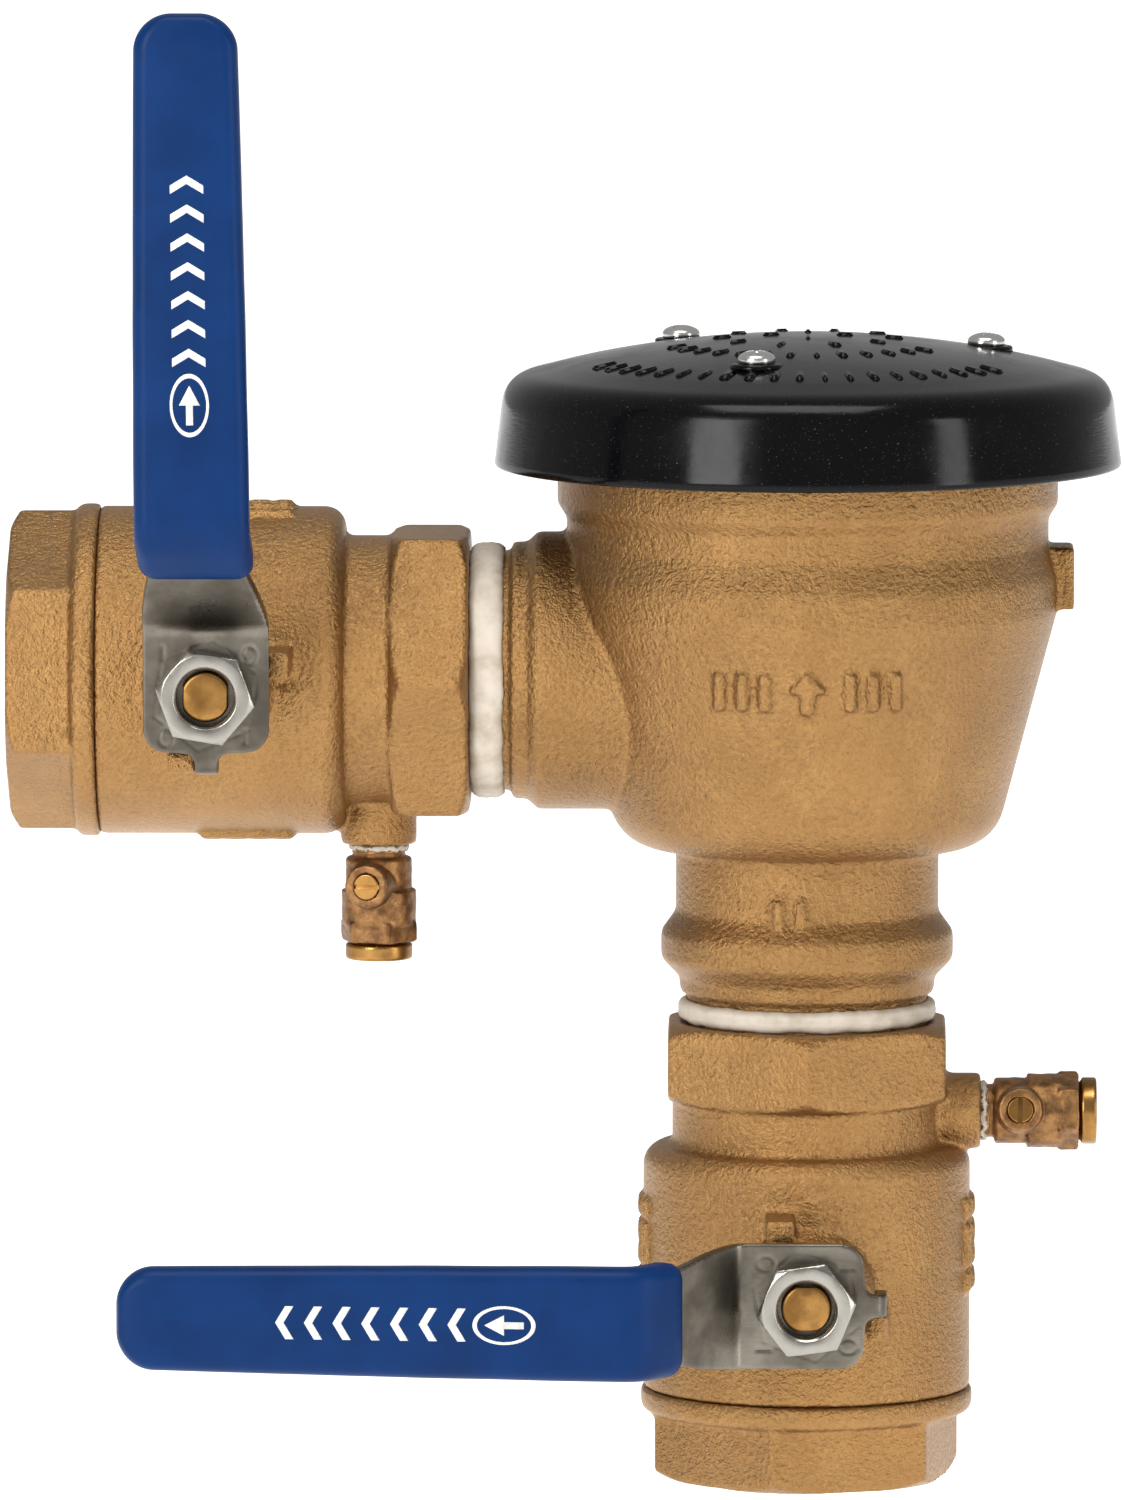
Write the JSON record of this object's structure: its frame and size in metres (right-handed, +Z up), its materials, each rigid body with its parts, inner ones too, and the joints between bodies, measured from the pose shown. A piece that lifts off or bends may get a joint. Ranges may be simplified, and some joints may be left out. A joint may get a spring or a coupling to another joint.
{
  "type": "backflow preventer",
  "caption": "Bronze pressure vacuum breaker with a domed black canopy, lever shut-off ball valves on its inlet and outlet, and small slotted test cocks.",
  "frame": {"origin": "centre of the inlet port's mouth, at the free end of the lower valve", "axes": "+Z up along the inlet's axis, -X out of the outlet port, -Y the side that the levers face"},
  "size_m": [0.2716, 0.1661, 0.3645],
  "materials": {
    "cast_bronze": "sand cast bronze, fine grain",
    "machined_brass": "turned and polished brass",
    "ball_chrome": "polished chrome plate",
    "stainless_steel": "rolled stainless steel",
    "spring_steel": "drawn stainless wire",
    "screw_steel": "bright stainless screws",
    "grip_vinyl": "blue dipped vinyl, satin",
    "canopy_plastic": "glossy black moulding",
    "thread_tape": "white thread tape",
    "seat_plastic": "white filled seat plastic",
    "poppet_plastic": "moulded poppet plastic",
    "seal_rubber": "black seal rubber"
  },
  "bodies": {
    "valve_set": {"vacuum_breaker_body": "cast_bronze", "bonnet": "machined_brass", "air_guide": "machined_brass", "canopy_post_1": "machined_brass", "canopy_post_2": "machined_brass", "canopy_post_3": "machined_brass", "bonnet_o_ring": "seal_rubber", "canopy": "canopy_plastic", "canopy_screws": "screw_steel", "check_seat": "machined_brass", "check_cage": "poppet_plastic", "check_spring": "spring_steel", "air_poppet_spring": "spring_steel", "inlet_thread_tape": "thread_tape", "outlet_thread_tape": "thread_tape", "inlet_valve_body": "cast_bronze", "inlet_end_piece": "cast_bronze", "inlet_end_seal": "seal_rubber", "inlet_ball_seats": "seat_plastic", "inlet_stem_packing": "seat_plastic", "inlet_packing_nut": "machined_brass", "inlet_cock_body": "machined_brass", "inlet_cock_tip": "machined_brass", "inlet_cock_seats": "seat_plastic", "inlet_cock_tape": "thread_tape", "outlet_valve_body": "cast_bronze", "outlet_end_piece": "cast_bronze", "outlet_end_seal": "seal_rubber", "outlet_ball_seats": "seat_plastic", "outlet_stem_packing": "seat_plastic", "outlet_packing_nut": "machined_brass", "outlet_cock_body": "machined_brass", "outlet_cock_tip": "machined_brass", "outlet_cock_seats": "seat_plastic", "outlet_cock_tape": "thread_tape"},
    "inlet_lever": {"inlet_ball": "ball_chrome", "inlet_stem": "machined_brass", "inlet_handle": "stainless_steel", "inlet_handle_nut": "stainless_steel", "inlet_grip": "grip_vinyl"},
    "outlet_lever": {"outlet_ball": "ball_chrome", "outlet_stem": "machined_brass", "outlet_handle": "stainless_steel", "outlet_handle_nut": "stainless_steel", "outlet_grip": "grip_vinyl"},
    "inlet_cock_plug": {"inlet_cock_ball": "ball_chrome", "inlet_cock_stem": "machined_brass", "inlet_cock_stem_seal": "seal_rubber"},
    "outlet_cock_plug": {"outlet_cock_ball": "ball_chrome", "outlet_cock_stem": "machined_brass", "outlet_cock_stem_seal": "seal_rubber"},
    "check": {"check_poppet": "poppet_plastic", "check_disc": "seal_rubber"},
    "air_inlet": {"air_poppet": "poppet_plastic", "air_poppet_seal": "seal_rubber", "air_poppet_clip": "spring_steel"}
  },
  "joints": [
    {"name": "inlet_lever_turn", "type": "hinge", "parent": "valve_set", "child": "inlet_lever", "pos_m": [0, 0, 0.05], "axis": [0, -1, 0], "range_deg": [0, 90]},
    {"name": "outlet_lever_turn", "type": "hinge", "parent": "valve_set", "child": "outlet_lever", "pos_m": [-0.145, 0, 0.1985], "axis": [0, -1, 0], "range_deg": [0, 90]},
    {"name": "inlet_cock_turn", "type": "hinge", "parent": "valve_set", "child": "inlet_cock_plug", "pos_m": [0.0523, 0, 0.09], "axis": [0, -0.9903, 0.1392], "range_deg": [0, 90]},
    {"name": "outlet_cock_turn", "type": "hinge", "parent": "valve_set", "child": "outlet_cock_plug", "pos_m": [-0.105, 0, 0.1462], "axis": [-0.2588, -0.9659, 0], "range_deg": [0, 90]},
    {"name": "check_lift", "type": "slide", "parent": "valve_set", "child": "check", "axis": [0, 0, 1], "range_m": [0, 0.01], "stiffness_N_per_m": 300, "springref_m": -0.01, "deforming": ["check_spring"]},
    {"name": "air_inlet_lift", "type": "slide", "parent": "valve_set", "child": "air_inlet", "axis": [0, 0, 1], "range_m": [0, 0.0059], "stiffness_N_per_m": 100, "springref_m": -0.005, "deforming": ["air_poppet_spring"]}
  ]
}
